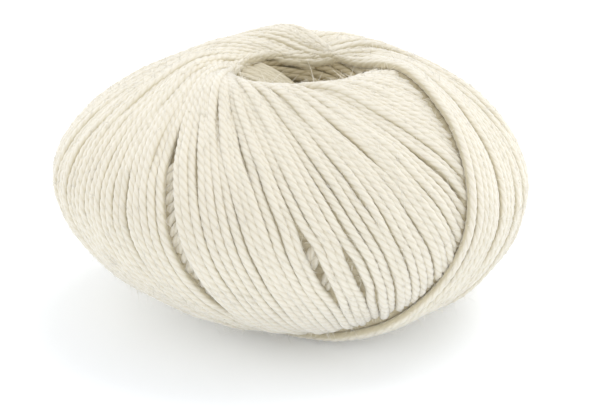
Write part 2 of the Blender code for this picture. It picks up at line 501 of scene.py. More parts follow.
            rows, columns = self.map.beside(dense[0], dense[1], cover * self.radius * dense[3][:, None])
            np.maximum.at(felt, (fine_down, rows, columns), top)
            np.maximum.at(self.map.height, self.map.beside(dense[0], dense[1], cover * self.radius), top)
        probe = np.linspace(-0.9 * self.radius, 0.9 * self.radius, 13)
        over = np.sqrt(self.radius**2 - probe**2) + self.height[:, None]
        showing = over > self.map.height[self.map.beside(self.polar, self.azimuth, probe)] - 0.16
        under = (self.tops > self.last_loop + self.first_kept) & (self.polar < self.kept_from)
        self.shows = self.tidied((showing.sum(axis=1) >= 2) & ~under)

    @staticmethod
    def tidied(shows: Array) -> Array:
        """Stretches with short breaks closed, short lone stretches dropped, and both ends carried on a little."""
        def spread(flags: Array, reach: int) -> Array:
            """True within reach samples of a true one."""
            return np.convolve(flags, np.ones(2 * reach + 1), mode="same") > 0.5

        closed = ~spread(~spread(shows, 10), 10)
        held = spread(~spread(~closed, 2), 2)
        return spread(held, 8)

    def strand(self) -> Strand:
        """The showing stretches as a strand, its local detail set over the solid's own form. Both ends of each
        stretch are tucked under their neighbours."""
        shape = self.map.read(self.map.blurred(self.shape_reach), self.polar, self.azimuth)
        within = np.arange(len(self.tops)) % self.samples * 360.0 / self.samples - 180.0
        edge = self.last_rise * np.interp(within, [-10.0, 60.0, 180.0], [1.0, 0.35, 1.0])
        rise = self.stand_off + edge * np.exp(-np.maximum(self.tops - self.last_loop, 0.0) / self.last_rise_fade)
        lift = np.maximum(softened(self.height - shape, 1.5), -4.0) + self.settled(self.polar, rise)
        centre = self.form.points(self.polar, self.azimuth, lift, self.radius * self.clear_of_floor)
        step = np.linalg.norm(np.diff(centre, axis=0, prepend=centre[:1]), axis=1)
        run = np.cumsum(np.diff(self.shows.astype(int), prepend=0) == 1)
        whole = Strand(centre, self.form.normals(self.polar, self.azimuth), run, np.cumsum(step))
        shown = whole.part(self.shows)
        tucked = self.tuck * (1.0 - np.clip(from_tip(shown.run) / self.tuck_samples, 0.0, 1.0)) ** 2
        shown.centre = shown.centre - tucked[:, None] * shown.normal
        return shown

    def settled(self, polar: Array, rise: Array | float) -> Array:
        """How far the turns stand over the form: their rise at the widest part, less near the hollows' rims."""
        width = np.sin(np.radians(polar))
        return rise * width - self.sunk_at_rims * (1.0 - width)

    def core_lift(self, polar: Array, azimuth: Array) -> Array:
        """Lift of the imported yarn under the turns: a little under the height that they make together, and well
        under it where a wide gap shows the turns below."""
        near, about, shape = (
            self.map.read(self.map.blurred(reach), polar, azimuth) for reach in (1.0, 3.5, self.shape_reach)
        )
        dip = 1.6 * np.maximum(about - near - 0.2, 0.0)
        turned = (azimuth - self.form.dip_azimuth + 180.0) % 360.0 - 180.0
        mouth = 2.2 * np.exp(-((turned / 32.0) ** 2) - np.maximum((polar - self.form.tilt) / 3.5, -0.5) ** 2)
        return near - shape - self.core_depth - dip - mouth + self.settled(polar, self.stand_off)


@dataclass(frozen=True)
class PliedSection:
    """The strand's section: plies side by side in a ring, twisted along the strand."""

    radius: float = 1.05
    plies: int = 4
    ply_radius: float = 0.70
    pitch: float = 9.2
    way: Ply = Ply.S
    sides: int = 12
    thick_and_thin: float = 0.06

    def outline(self) -> Array:
        """Radius at each side's corner: c cos a + sqrt(p^2 - c^2 sin^2 a), for the nearest ply's own angle a, its
        radius p and its distance c from the middle. The first corner of each ply lies in the crease."""
        angle = np.arange(self.sides) * 360.0 / self.sides
        ply = 360.0 / self.plies
        off = np.radians((angle % ply) - ply / 2.0)
        out = self.radius - self.ply_radius
        return out * np.cos(off) + np.sqrt(self.ply_radius**2 - (out * np.sin(off)) ** 2)

    def rings(self, strand: Strand, seed: int = 3) -> tuple[Array, Array]:
        """Points of every ring: centre + r (cos a normal + sin a side), where a grows with the twist.

        The radius wanders slowly along the strand, and closes over the last samples at each end of a run.

        Args:
            strand: The centre line.
            seed: Seed of the radius's wander.

        Returns:
            The points, as samples by sides by 3, and cos a for each.
        """
        tangent = unit(run_gradient(strand))
        side = unit(np.cross(tangent, strand.normal))
        normal = np.cross(side, tangent)
        angle = np.radians(np.arange(self.sides) * 360.0 / self.sides)
        twist = self.way.value * 2.0 * math.pi * strand.along / self.pitch
        turn = angle[None, :] + twist[:, None]
        full = 1.0 + self.thick_and_thin * wander(strand.along, 17.0, np.random.default_rng(seed))
        closing = np.interp(from_tip(strand.run), [0.0, 1.0, 2.0, 3.0], [0.4, 0.75, 0.93, 1.0])
        size = self.outline()[None, :] * (full * closing)[:, None]
        out = np.cos(turn)[..., None] * normal[:, None] + np.sin(turn)[..., None] * side[:, None]
        return strand.centre[:, None] + size[..., None] * out, np.cos(turn)


def run_gradient(strand: Strand) -> Array:
    """Direction of the centre line at each sample, from its neighbours in the same run."""
    ahead, behind = np.roll(np.arange(len(strand.run)), -1), np.roll(np.arange(len(strand.run)), 1)
    here = np.arange(len(strand.run))
    ahead = np.where(strand.run[ahead] == strand.run, ahead, here)
    behind = np.where(strand.run[behind] == strand.run, behind, here)
    ahead[-1], behind[0] = here[-1], here[0]
    return strand.centre[ahead] - strand.centre[behind]


def from_tip(run: Array) -> Array:
    """Samples between each sample and the nearer end of its run."""
    starts = np.flatnonzero(np.diff(run, prepend=run[0] - 1))
    counts = np.diff(np.append(starts, len(run)))
    from_start = np.arange(len(run)) - np.repeat(starts, counts)
    from_end = np.repeat(counts, counts) - 1 - from_start
    return np.minimum(from_start, from_end)


def mesh_from_arrays(name: str, points: Array, quads: Array, triangles: Array) -> bpy.types.Mesh:
    """A smooth mesh from whole arrays.

    Args:
        name: Name of the mesh.
        points: Points in millimetres.
        quads: Four corners for each quad.
        triangles: Three corners for each triangle, which come after the quads.

    Returns:
        The mesh, in metres.
    """
    mesh = bpy.data.meshes.new(name)
    mesh.vertices.add(len(points))
    mesh.vertices.foreach_set("co", (points * MM).astype(np.float32).ravel())
    corners = np.concatenate([quads.ravel(), triangles.ravel()]).astype(np.int32)
    mesh.loops.add(len(corners))
    mesh.loops.foreach_set("vertex_index", corners)
    sizes = np.repeat([4, 3], [len(quads), len(triangles)])
    mesh.polygons.add(len(sizes))
    mesh.polygons.foreach_set("loop_start", (np.cumsum(sizes) - sizes).astype(np.int32))
    mesh.polygons.foreach_set("use_smooth", np.ones(len(sizes), dtype=bool))
    mesh.update(calc_edges=True)
    mesh.validate()
    return mesh


def add_map(mesh: bpy.types.Mesh, name: str, corners: Array) -> None:
    """Adds a UV map from the two numbers of every face corner, in the order of the mesh's corners."""
    mesh.uv_layers.new(name=name).data.foreach_set("uv", corners.astype(np.float32).ravel())


def add_crown(mesh: bpy.types.Mesh, share: Array | float) -> None:
    """Adds a number for each point: 1 on the crown of its turn, 0 on its flanks and less underneath. The finishes
    paint shade on the flanks from it.
    """
    values = np.broadcast_to(share, len(mesh.vertices)).astype(np.float32)
    mesh.attributes.new(CROWN, "FLOAT", "POINT").data.foreach_set("value", values)


def add_piece(name: str, mesh: bpy.types.Mesh, finish: bpy.types.Material) -> bpy.types.Object:
    """Makes an object of the mesh with one finish, which rides on the part's body.

    Args:
        name: Name of the piece.
        mesh: Its mesh, already in place.
        finish: Its material.

    Returns:
        The object.
    """
    piece = bpy.data.objects.new(name, mesh)
    mesh.materials.append(finish)
    bpy.context.scene.collection.objects.link(piece)
    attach(piece, BODY)
    log.info("%s: %d triangles", name, sum(len(p.vertices) - 2 for p in mesh.polygons))
    return piece


@dataclass(frozen=True)
class StrandMesh:
    """Makes closed tubes of plied yarn from a strand, with a map for the pattern and one for baking."""

    section: PliedSection = field(default_factory=PliedSection)

    def build(self, name: str, strand: Strand) -> bpy.types.Mesh:
        """One mesh of all the strand's runs: quads between rings, and a fan of triangles over each end.

        Args:
            name: Name of the mesh.
            strand: The centre line.

        Returns:
            The mesh.
        """
        sides, count = self.section.sides, len(strand.run)
        rings, crown = self.section.rings(strand)
        joined = np.flatnonzero(strand.run[1:] == strand.run[:-1])
        starts = np.flatnonzero(np.diff(strand.run, prepend=strand.run[0] - 1))
        stops = np.append(starts[1:], count) - 1
        corner = np.arange(sides)
        after = (corner + 1) % sides
        near, far = joined[:, None] * sides, (joined[:, None] + 1) * sides
        quads = np.stack([near + corner, near + after, far + after, far + corner], axis=-1).reshape(-1, 4)
        ends = np.concatenate([starts, stops])
        tips = count * sides + np.arange(len(ends))
        first, second = ends[:, None] * sides + corner, ends[:, None] * sides + after
        opening = (np.arange(len(ends)) < len(starts))[:, None]
        fans = np.stack(
            [np.broadcast_to(tips[:, None], first.shape), np.where(opening, second, first),
             np.where(opening, first, second)], axis=-1
        ).reshape(-1, 3)
        direction = unit(run_gradient(strand))[ends]
        outward = np.where(np.arange(len(ends)) < len(starts), -1.0, 1.0)[:, None]
        tip_points = strand.centre[ends] + 0.25 * self.section.radius * outward * direction
        points = np.concatenate([rings.reshape(-1, 3), tip_points])
        mesh = mesh_from_arrays(name, points, quads, fans)
        add_crown(mesh, np.append(crown.ravel(), np.zeros(len(ends))))
        self.add_maps(mesh, strand, joined, ends, opening[:, 0])
        return mesh

    def add_maps(self, mesh: bpy.types.Mesh, strand: Strand, joined: Array, ends: Array, opening: Array) -> None:
        """Adds the pattern's map, which is (millimetres along, share of the way round), and the bake's, which
        lays the same strips side by side in rows that fill the square.

        Args:
            mesh: The tubes.
            strand: Their centre line.
            joined: The first ring of each pair with quads between them.
            ends: The rings with a fan over them.
            opening: True for each end that starts a run.
        """
        sides = self.section.sides
        around = np.arange(sides) / sides
        step = 1.0 / sides
        quad_round = np.stack([around, around + step, around + step, around], axis=-1)
        quad_along = np.array([0, 0, 1, 1])
        fan_round = np.stack([around + step / 2.0, around, around + step], axis=-1)
        along = strand.along
        quad_u = along[joined[:, None] + quad_along]
        strand_uv = [
            np.stack(np.broadcast_arrays(quad_u[:, None, :], quad_round[None]), axis=-1).reshape(-1, 2),
            np.stack(np.broadcast_arrays(along[ends][:, None, None], fan_round[None]), axis=-1).reshape(-1, 2),
        ]
        add_map(mesh, STRAND_MAP, np.concatenate(strand_uv))
        length = len(along) + 2.0
        rows = max(1, round(math.sqrt(length * 0.5 / (2.0 * math.pi * self.section.radius))))
        per_row = math.ceil(length / rows)
        place = np.arange(len(along))

        def on_sheet(ring: Array, offset: Array, share: Array) -> Array:
            """Place on the square for a ring, an offset from it in rings, and a share of the way round."""
            u = (ring % per_row + 0.5 + offset) / (per_row + 1.0)
            return np.stack(np.broadcast_arrays(u, (ring // per_row + 0.04 + 0.92 * share) / rows), axis=-1)

        quads = on_sheet(place[joined][:, None, None], quad_along[None, None], quad_round[None])
        offset = np.where(opening, -0.4, 0.4)[:, None, None] * np.array([1.0, 0.0, 0.0])
        fans = on_sheet(place[ends][:, None, None], offset, fan_round[None])
        add_map(mesh, BAKE_MAP, np.concatenate([quads.reshape(-1, 2), fans.reshape(-1, 2)]))


@dataclass
class Turns:
    """The turns that show on the outside, in pieces by the order in which they were wound."""

    winding: Winding
    finish: bpy.types.Material
    rings_per_piece: int = 7000

    def build(self) -> list[bpy.types.Object]:
        """Makes the pieces, each of whole runs and of about the same number of rings."""
        strand = self.winding.strand()
        starts = np.flatnonzero(np.diff(strand.run, prepend=strand.run[0] - 1))
        counts = np.diff(np.append(starts, len(strand.run)))
        batch = np.repeat(starts // self.rings_per_piece, counts)
        log.info("showing yarn: %.1f m in %d runs", len(strand.run) * 0.5 * MM, len(starts))
        maker = StrandMesh(PliedSection(radius=self.winding.radius))
        self.shown = strand
        return [
            add_piece(f"turns_{number + 1}", maker.build(f"turns_{number + 1}", strand.part(batch == number)),
                      self.finish)
            for number in range(int(batch.max()) + 1)
        ]


@dataclass(frozen=True)
class HollowShape:
    """A hollow's wall as depth and radius, from its rim to its floor."""

    end: End
    depths: tuple[float, ...]
    radii: tuple[float, ...]

    def radius(self, depth: Array) -> Array:
        """Radius of the wall at each depth."""
        return np.interp(depth, self.depths, self.radii)

    def azimuth_polar(self, form: WoundForm) -> float:
        """Polar angle of the rim."""
        return form.tilt if self.end is End.TOP else 180.0 - form.tilt

    def points(
        self, form: WoundForm, azimuth: Array, radius: Array, depth: Array, clearance: float = 0.0
    ) -> Array:
        """Points in the frame at an azimuth, radius and depth under the rim's own height there.

        Args:
            form: The ball's form.
            azimuth: Degrees about the axis.
            radius: Millimetres from the axis.
            depth: Millimetres under the rim.
            clearance: How far the points stay above the floor.

        Returns:
            The points.
        """
        polar = np.full(np.shape(azimuth), self.azimuth_polar(form))
        _, rim = form.upright(polar, azimuth, np.zeros_like(polar))
        _, level = form.upright(polar, np.full_like(polar, 180.0), np.zeros_like(polar))
        share = np.clip(depth / self.depths[-1], 0.0, 1.0)
        height = rim * (1.0 - share) + level * share - self.end.value * depth
        return form.placed(form.leaned(radius, azimuth, height), clearance)


TOP_HOLLOW = HollowShape(
    End.TOP, (0.0, 2.2, 5.0, 8.5, 12.0, 15.5, 18.3, 19.8, 20.2), (14.9, 13.6, 11.9, 10.4, 9.0, 7.6, 6.0, 3.4, 0.0)
)
LOWER_HOLLOW = HollowShape(End.UNDER, (0.0, 1.0, 3.5, 6.5, 8.8, 9.8, 10.0), (14.8, 13.4, 12.0, 10.2, 7.6, 4.0, 0.0))


@dataclass
class Core:
    """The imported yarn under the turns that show, down into both hollows, as one closed skin."""

    winding: Winding
    finish: bpy.types.Material
    rows: int = 116
    columns: int = 224
    wall_rows: int = 14
    wall_gap: float = 2.2

    def wall(self, shape: HollowShape, azimuth: Array) -> Array:
        """Rings down a hollow's wall to near the middle of its floor, a little behind the solid's own wall."""
        depth = np.linspace(1.0, shape.depths[-1], self.wall_rows)[:, None] + 0.0 * azimuth
        radius = np.maximum(shape.radius(depth) + self.wall_gap * (1.0 - depth / shape.depths[-1]), 0.15)
        return shape.points(self.winding.form, azimuth + 0.0 * depth, radius, depth + 0.3, 0.3)

    def build(self) -> bpy.types.Object:
        """Makes the skin as rows of points from the top hollow's floor to the lower one's, with a pole each."""
        form = self.winding.form
        azimuth = np.arange(self.columns) * 360.0 / self.columns
        polar = np.linspace(form.tilt - 1.0, 181.0 - form.tilt, self.rows)[:, None] + 0.0 * azimuth
        about = azimuth + 0.0 * polar
        skin = form.points(polar, about, self.winding.core_lift(polar, about), 0.5)
        rings = np.concatenate([self.wall(TOP_HOLLOW, azimuth)[::-1], skin, self.wall(LOWER_HOLLOW, azimuth)])
        poles = np.stack([rings[0].mean(axis=0), rings[-1].mean(axis=0)])
        count = len(rings)
        row = np.arange(count - 1)[:, None] * self.columns
        here = np.arange(self.columns)
        after = (here + 1) % self.columns
        below = row + self.columns
        quads = np.stack([row + here, below + here, below + after, row + after], axis=-1).reshape(-1, 4)
        top, under = count * self.columns, count * self.columns + 1
        last = (count - 1) * self.columns
        fans = np.concatenate([
            np.stack([np.full(self.columns, top), here, after], axis=-1),
            np.stack([np.full(self.columns, under), last + after, last + here], axis=-1),
        ])
        mesh = mesh_from_arrays("core", np.concatenate([rings.reshape(-1, 3), poles]), quads, fans)
        # A crown of 0.5 puts part of the painted flank shade over the whole core.
        add_crown(mesh, 0.5)
        self.add_maps(mesh, count)
        piece = add_piece("core", mesh, self.finish)
        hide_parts(NODE)
        return piece

    def add_maps(self, mesh: bpy.types.Mesh, count: int) -> None:
        """Adds both maps from the rows and columns of the skin."""
        column = np.arange(self.columns)[None, :, None] + np.array([0, 0, 1, 1])
        row = np.arange(count - 1)[:, None, None] + np.array([0, 1, 1, 0]) + 1
        quads = np.stack(np.broadcast_arrays(column / self.columns, row / (count + 1.0)), axis=-1).reshape(-1, 2)
        across = (np.arange(self.columns)[:, None] + np.array([0.5, 0.0, 1.0])) / self.columns
        edge = [np.broadcast_to([0.0, 1.0, 1.0], across.shape),
                np.broadcast_to(np.array([count + 1.0, count, count]), across.shape)]
        across_under = (np.arange(self.columns)[:, None] + np.array([0.5, 1.0, 0.0])) / self.columns
        fans = [np.stack([u, v / (count + 1.0)], axis=-1).reshape(-1, 2)
                for u, v in zip((across, across_under), edge)]
        sheet = np.concatenate([quads, *fans])
        add_map(mesh, STRAND_MAP, sheet * np.array([330.0, 12.0]))
        add_map(mesh, BAKE_MAP, sheet)


@dataclass
class HollowTurns:
    """Turns of the inner layers that show in a hollow: arcs that come out of its wall and go back into it."""

    form: WoundForm
    shape: HollowShape
    finish: bpy.types.Material
    slack_shade_finish: bpy.types.Material
    arcs: int
    slack_arcs: int
    radius: float = 1.0
    first_depth: float = 3.0
    slack_from: float = 0.17
    set_back: float = 1.3
    seed: int = 21
    samples: int = 40

    def build(self, name: str) -> None:
        """Makes the arcs round the wall and the slack turns across the hollow.

        Args:
            name: Name of the hollow, for the names of the two pieces.
        """
        rng = np.random.default_rng(self.seed)
        way = np.linspace(-1.0, 1.0, self.samples)
        self.add(f"{name}_wall_turns", self.wall(rng, way), self.finish)
        self.add(f"{name}_slack_turns", self.slack(rng, way), self.slack_shade_finish)

    def add(self, name: str, points: Array, finish: bpy.types.Material) -> None:
        """Makes one piece of the centre lines, whose crowns face the axis and the hollow's opening."""
        axis = np.array(self.form.middle_in_frame)[:2]
        inward = np.zeros_like(points)
        inward[..., :2] = axis - points[..., :2]
        inward[..., 2] = 0.35 * self.shape.end.value * np.linalg.norm(inward[..., :2], axis=-1) + 1e-3
        run = np.repeat(np.arange(len(points)), self.samples)
        flat = points.reshape(-1, 3)
        step = np.linalg.norm(np.diff(flat, axis=0, prepend=flat[:1]), axis=1)
        strand = Strand(flat, unit(inward.reshape(-1, 3)), run, np.cumsum(np.minimum(step, 1.0)))
        add_piece(name, StrandMesh(PliedSection(radius=self.radius)).build(name, strand), finish)

    def wall(self, rng: np.random.Generator, way: Array) -> Array:
        """Arcs round the wall, each at its own azimuth and at a depth that falls from one end to the other. An
        arc's radius is the wall's at its middle and grows by the fourth power of the way to its ends."""
        share = (np.arange(self.arcs) + 0.5) / self.arcs
        deepest = self.shape.depths[-1]
        depth = self.first_depth + (0.86 * deepest - self.first_depth) * share**1.15
        depth = depth + rng.uniform(-0.3, 0.3, self.arcs)
        span = rng.uniform(48.0, 82.0, self.arcs)
        middle = np.arange(self.arcs) * 137.5 + rng.uniform(-14.0, 14.0, self.arcs)
        fall = rng.choice([-1.0, 1.0], self.arcs) * rng.uniform(0.03, 0.11, self.arcs) * deepest
        azimuth = middle[:, None] + span[:, None] * way
        level = depth[:, None] + fall[:, None] * way
        radius = self.shape.radius(np.maximum(level, 0.0)) + self.set_back + 2.6 * way**4
        return self.shape.points(self.form, azimuth, radius, level, 1.08 * self.radius)

    def slack(self, rng: np.random.Generator, way: Array) -> Array:
        """Slack turns across the hollow, high at its left end and falling to the right: chords side by side, whose
        depth grows with the way along them to the power 1.4."""
        step = np.linspace(0.0, 1.0, self.slack_arcs)[:, None]
        heading = np.radians(rng.uniform(-34.0, -14.0, self.slack_arcs))[:, None]
        fall = ((1.0 + way) / 2.0) ** 1.4
        depth = self.shape.depths[-1] * (self.slack_from + (0.8 - self.slack_from) * fall)
        depth = depth + rng.uniform(-0.4, 0.4, self.slack_arcs)[:, None]
        wall = self.shape.radius(depth) + 1.4
        offset = wall * (0.56 - 1.2 * step)
        along = np.sqrt(wall**2 - offset**2) * way
        x = along * np.cos(heading) - offset * np.sin(heading)
        y = along * np.sin(heading) + offset * np.cos(heading)
        return self.shape.points(self.form, np.degrees(np.arctan2(y, x)), np.hypot(x, y), depth, 1.08 * self.radius)


@dataclass
class LooseFibres:
    """The fine hairs that stand off the strand: bent three-sided spikes of ten triangles each."""

    winding: Winding
    strand: Strand
    finish: bpy.types.Material
    count: int = 12000
    thickness: float = 0.056
    seed: int = 5

    def build(self) -> bpy.types.Object:
        """Makes the hairs. Each leaves the strand's skin, and bends from its first direction to its second by the
        square of the way along it: root + L t first + L t^2 second."""
        rng = np.random.default_rng(self.seed)
        at = rng.integers(0, len(self.strand.run), self.count)
        tangent = unit(run_gradient(self.strand))[at]
        normal = self.strand.normal[at]
        side = unit(np.cross(tangent, normal))
        lean = np.radians(rng.uniform(-80.0, 80.0, self.count))[:, None]
        out = np.cos(lean) * normal + np.sin(lean) * side
        root = self.strand.centre[at] + 0.85 * self.winding.radius * out
        first = unit(0.9 * out + rng.choice([-1.0, 1.0], (self.count, 1)) * tangent * rng.uniform(0.3, 1.8, (self.count, 1)))
        second = unit(rng.normal(size=(self.count, 3))) * 0.7 - 0.25 * out
        length = np.clip(rng.lognormal(0.55, 0.45, self.count), 0.8, 5.0)[:, None]
        way = np.array([0.0, 0.5])
        line = root[:, None] + length[:, None] * (
            way[None, :, None] * first[:, None] + (way**2)[None, :, None] * second[:, None]
        )
        tip = root + length * (first + second)
        width = self.thickness * np.array([1.0, 0.75])[None, :, None, None]
        across = unit(np.cross(first, normal + 1e-3))
        along = unit(np.cross(across, first))
        angle = np.radians([0.0, 120.0, 240.0])
        around = np.cos(angle)[None, :, None] * across[:, None] + np.sin(angle)[None, :, None] * along[:, None]
        rings = line[:, :, None] + width * around[:, None]
        floor = 0.05
        points = np.concatenate([rings.reshape(-1, 3), tip])
        points[:, 2] = np.maximum(points[:, 2], floor)
        mesh = mesh_from_arrays("loose_fibres", points, *self.faces())
        add_crown(mesh, 1.0)
        self.add_maps(mesh)
        return add_piece("loose_fibres", mesh, self.finish)

    def faces(self) -> tuple[Array, Array]:
        """Quads between the two rings of each hair, then its root and its tip in triangles."""
        base = np.arange(self.count)[:, None, None] * 6
        corner = np.arange(3)
        after = (corner + 1) % 3
        quads = (base + np.stack([corner, after, 3 + after, 3 + corner], axis=-1)[None]).reshape(-1, 4)
        root = base[:, 0] + np.array([0, 2, 1])
        tips = np.broadcast_to(self.count * 6 + np.arange(self.count)[:, None, None], (self.count, 3, 1))
        sides = base + np.stack([3 + corner, 3 + after], axis=-1)[None]
        return quads, np.concatenate([root, np.concatenate([sides, tips], axis=-1).reshape(-1, 3)])

    def add_maps(self, mesh: bpy.types.Mesh) -> None:
        """Gives each hair a cell of its own in a square grid of cells, for the pattern and for baking."""
        cells = math.ceil(math.sqrt(self.count))
        hair = np.arange(self.count)
        corner = np.stack([hair % cells, hair // cells], axis=-1)
        quad = np.array([[0.1, 0.1], [0.9, 0.1], [0.9, 0.9], [0.1, 0.9]])
        quads = np.broadcast_to(corner[:, None, None] + quad, (self.count, 3, 4, 2))
        roots = corner[:, None] + quad[:3]
        tips = np.broadcast_to(corner[:, None, None] + quad[:3], (self.count, 3, 3, 2))
        sheet = np.concatenate([part.reshape(-1, 2) for part in (quads, roots, tips)]) / cells
        add_map(mesh, STRAND_MAP, sheet * 20.0)
        add_map(mesh, BAKE_MAP, sheet)


class Nodes:
    """Adds and joins shader nodes in one node tree."""

    def __init__(self, tree: bpy.types.NodeTree) -> None:
        """Keeps the tree."""
        self.tree = tree

    def add(self, kind: str, **inputs: object) -> bpy.types.Node:
        """A new node with its inputs set or joined.

        Args:
            kind: Blender's name for the node's kind.
            **inputs: A number, colour or output socket for each input, spaces in its name written as _.

        Returns:
            The node.
        """
        node = self.tree.nodes.new(kind)
        for name, value in inputs.items():
            self.set(node, name.replace("_", " "), value)
        return node

    def set(self, node: bpy.types.Node, name: str | int, value: object) -> None:
        """Sets one input to a value, or joins it to an output socket."""
        if isinstance(value, bpy.types.NodeSocket):
            self.tree.links.new(value, node.inputs[name])
        else:
            node.inputs[name].default_value = value

    def math(self, kind: str, *values: object) -> bpy.types.NodeSocket:
        """The result of a Math node of this kind."""
        node = self.add("ShaderNodeMath")
        node.operation = kind
        for number, value in enumerate(values):
            self.set(node, number, value)
        return node.outputs[0]

    def mix(self, factor: object, one: object, other: object) -> bpy.types.NodeSocket:
        """A colour between two others."""
        node = self.add("ShaderNodeMix")
        node.data_type = "RGBA"
        for number, value in ((0, factor), (6, one), (7, other)):
            self.set(node, number, value)
        return node.outputs[2]


def wool_group() -> bpy.types.NodeTree:
    """The shader group that every finish here uses, for wool that follows a strand.

    It reads the strand's map. Its streaks are noise drawn out along the strand, its creases carry painted shade where
    the plies meet, and its drift is slow noise along the yarn. The flanks of a turn, where it meets the next,
    carry painted shade too, along an edge that the noise breaks up.

    Returns:
        The group, with Colour, Roughness and Height as outputs.
    """
    group = bpy.data.node_groups.new("wool_on_a_strand", "ShaderNodeTree")
    face = group.interface
    for name, kind in (("Strand", "NodeSocketVector"), ("Crown", "NodeSocketFloat"), ("Colour", "NodeSocketColor"),
                       ("Shaded Crease", "NodeSocketColor"), ("Flank Shade", "NodeSocketColor"), ("Plies", "NodeSocketFloat"),
                       ("Drift", "NodeSocketFloat")):
        face.new_socket(name, in_out="INPUT", socket_type=kind)
    for name, kind in (("Colour", "NodeSocketColor"), ("Roughness", "NodeSocketFloat"), ("Height", "NodeSocketFloat")):
        face.new_socket(name, in_out="OUTPUT", socket_type=kind)
    nodes = Nodes(group)
    inputs = nodes.add("NodeGroupInput").outputs
    parts = nodes.add("ShaderNodeSeparateXYZ", Vector=inputs["Strand"]).outputs
    drawn_out = nodes.add("ShaderNodeMapping", Vector=inputs["Strand"], Scale=(0.9, 34.0, 1.0))
    streaks = nodes.add("ShaderNodeTexNoise", Vector=drawn_out.outputs[0], Scale=1.0, Detail=3.0, Roughness=0.65)
    slow = nodes.add("ShaderNodeMapping", Vector=inputs["Strand"], Scale=(0.05, 0.6, 1.0))
    drift = nodes.add("ShaderNodeTexNoise", Vector=slow.outputs[0], Scale=1.0, Detail=2.0)
    # Painted shade: the creases between the plies are mixed towards the darker crease colour, with random streaks and
    # drift.
    ply = nodes.math("FRACT", nodes.math("MULTIPLY", parts[1], inputs["Plies"]))
    from_crease = nodes.math("MULTIPLY", nodes.math("PINGPONG", ply, 0.5), 2.0)
    shaded_crease = nodes.math("POWER", nodes.math("SUBTRACT", 1.0, from_crease), 3.0)
    shade = nodes.math("MULTIPLY_ADD", nodes.math("SUBTRACT", drift.outputs[0], 0.5), inputs["Drift"], shaded_crease)
    shade = nodes.math("MULTIPLY_ADD", nodes.math("SUBTRACT", 0.5, streaks.outputs[0]), 1.0, shade)
    shade = nodes.add("ShaderNodeClamp", Value=shade).outputs[0]
    colour = nodes.mix(shade, inputs["Colour"], inputs["Shaded Crease"])
    # Painted shade: the flanks of each turn, where it meets the next, are mixed towards the darker flank colour.
    edge = nodes.math("MULTIPLY_ADD", nodes.math("SUBTRACT", streaks.outputs[0], 0.5), 0.7, inputs["Crown"])
    edge = nodes.math("MULTIPLY_ADD", nodes.math("SUBTRACT", drift.outputs[0], 0.5), 0.5, edge)
    flank_shade = nodes.add("ShaderNodeMapRange", Value=edge, From_Min=0.68, From_Max=0.1)
    flank_shade.interpolation_type = "SMOOTHSTEP"
    colour = nodes.mix(flank_shade.outputs[0], colour, inputs["Flank Shade"])
    roughness = nodes.math("MULTIPLY_ADD", streaks.outputs[0], 0.15, 0.8)
    height = nodes.math("MULTIPLY_ADD", shaded_crease, -0.4, streaks.outputs[0])
    result = nodes.add("NodeGroupOutput")
    for name, value in (("Colour", colour), ("Roughness", roughness), ("Height", height)):
        nodes.set(result, name, value)
    return group


@dataclass(frozen=True)
class WoolFinish:
    """Undyed wool: its colour on the plies, the painted shade in the creases between them and on the flanks of the
    turns, and how it takes light."""

    name: str
    colour: tuple[float, float, float, float]
    shaded_crease: tuple[float, float, float, float]
    flank_shade: tuple[float, float, float, float]
    plies: float = 4.0
    drift: float = 0.5
    bump: float = 0.35
    sheen: float = 1.0

    def material(self, group: bpy.types.NodeTree) -> bpy.types.Material:
        """Makes the material round the shared group.

        Args:
            group: The shader group from wool_group.

        Returns:
            The material.
        """
        material = bpy.data.materials.new(self.name)
        material.use_nodes = True
        nodes = Nodes(material.node_tree)
        shader = material.node_tree.nodes["Principled BSDF"]
        strand = nodes.add("ShaderNodeUVMap")
        strand.uv_map = STRAND_MAP
        crown = nodes.add("ShaderNodeAttribute")
        crown.attribute_name = CROWN
        wool = nodes.add("ShaderNodeGroup")
        wool.node_tree = group
        for name, value in (("Strand", strand.outputs[0]), ("Crown", crown.outputs["Fac"]), ("Colour", self.colour),
                            ("Shaded Crease", self.shaded_crease), ("Flank Shade", self.flank_shade), ("Plies", self.plies),
                            ("Drift", self.drift)):
            nodes.set(wool, name, value)
        bump = nodes.add("ShaderNodeBump", Strength=self.bump, Distance=0.00025, Height=wool.outputs["Height"])
        for name, value in (("Base Color", wool.outputs["Colour"]), ("Roughness", wool.outputs["Roughness"]),
                            ("Normal", bump.outputs[0]), ("Sheen Weight", self.sheen), ("Sheen Roughness", 0.4),
                            ("Sheen Tint", (1.0, 1.0, 1.0, 1.0)), ("Specular IOR Level", 0.2)):
            nodes.set(shader, name, value)
        return material


@dataclass(frozen=True)
class Lamp:
    """A soft round lamp that points at the ball, by its place in metres, power in watts and width in metres."""

    name: str
    place: tuple[float, float, float]
    power: float
    size: float


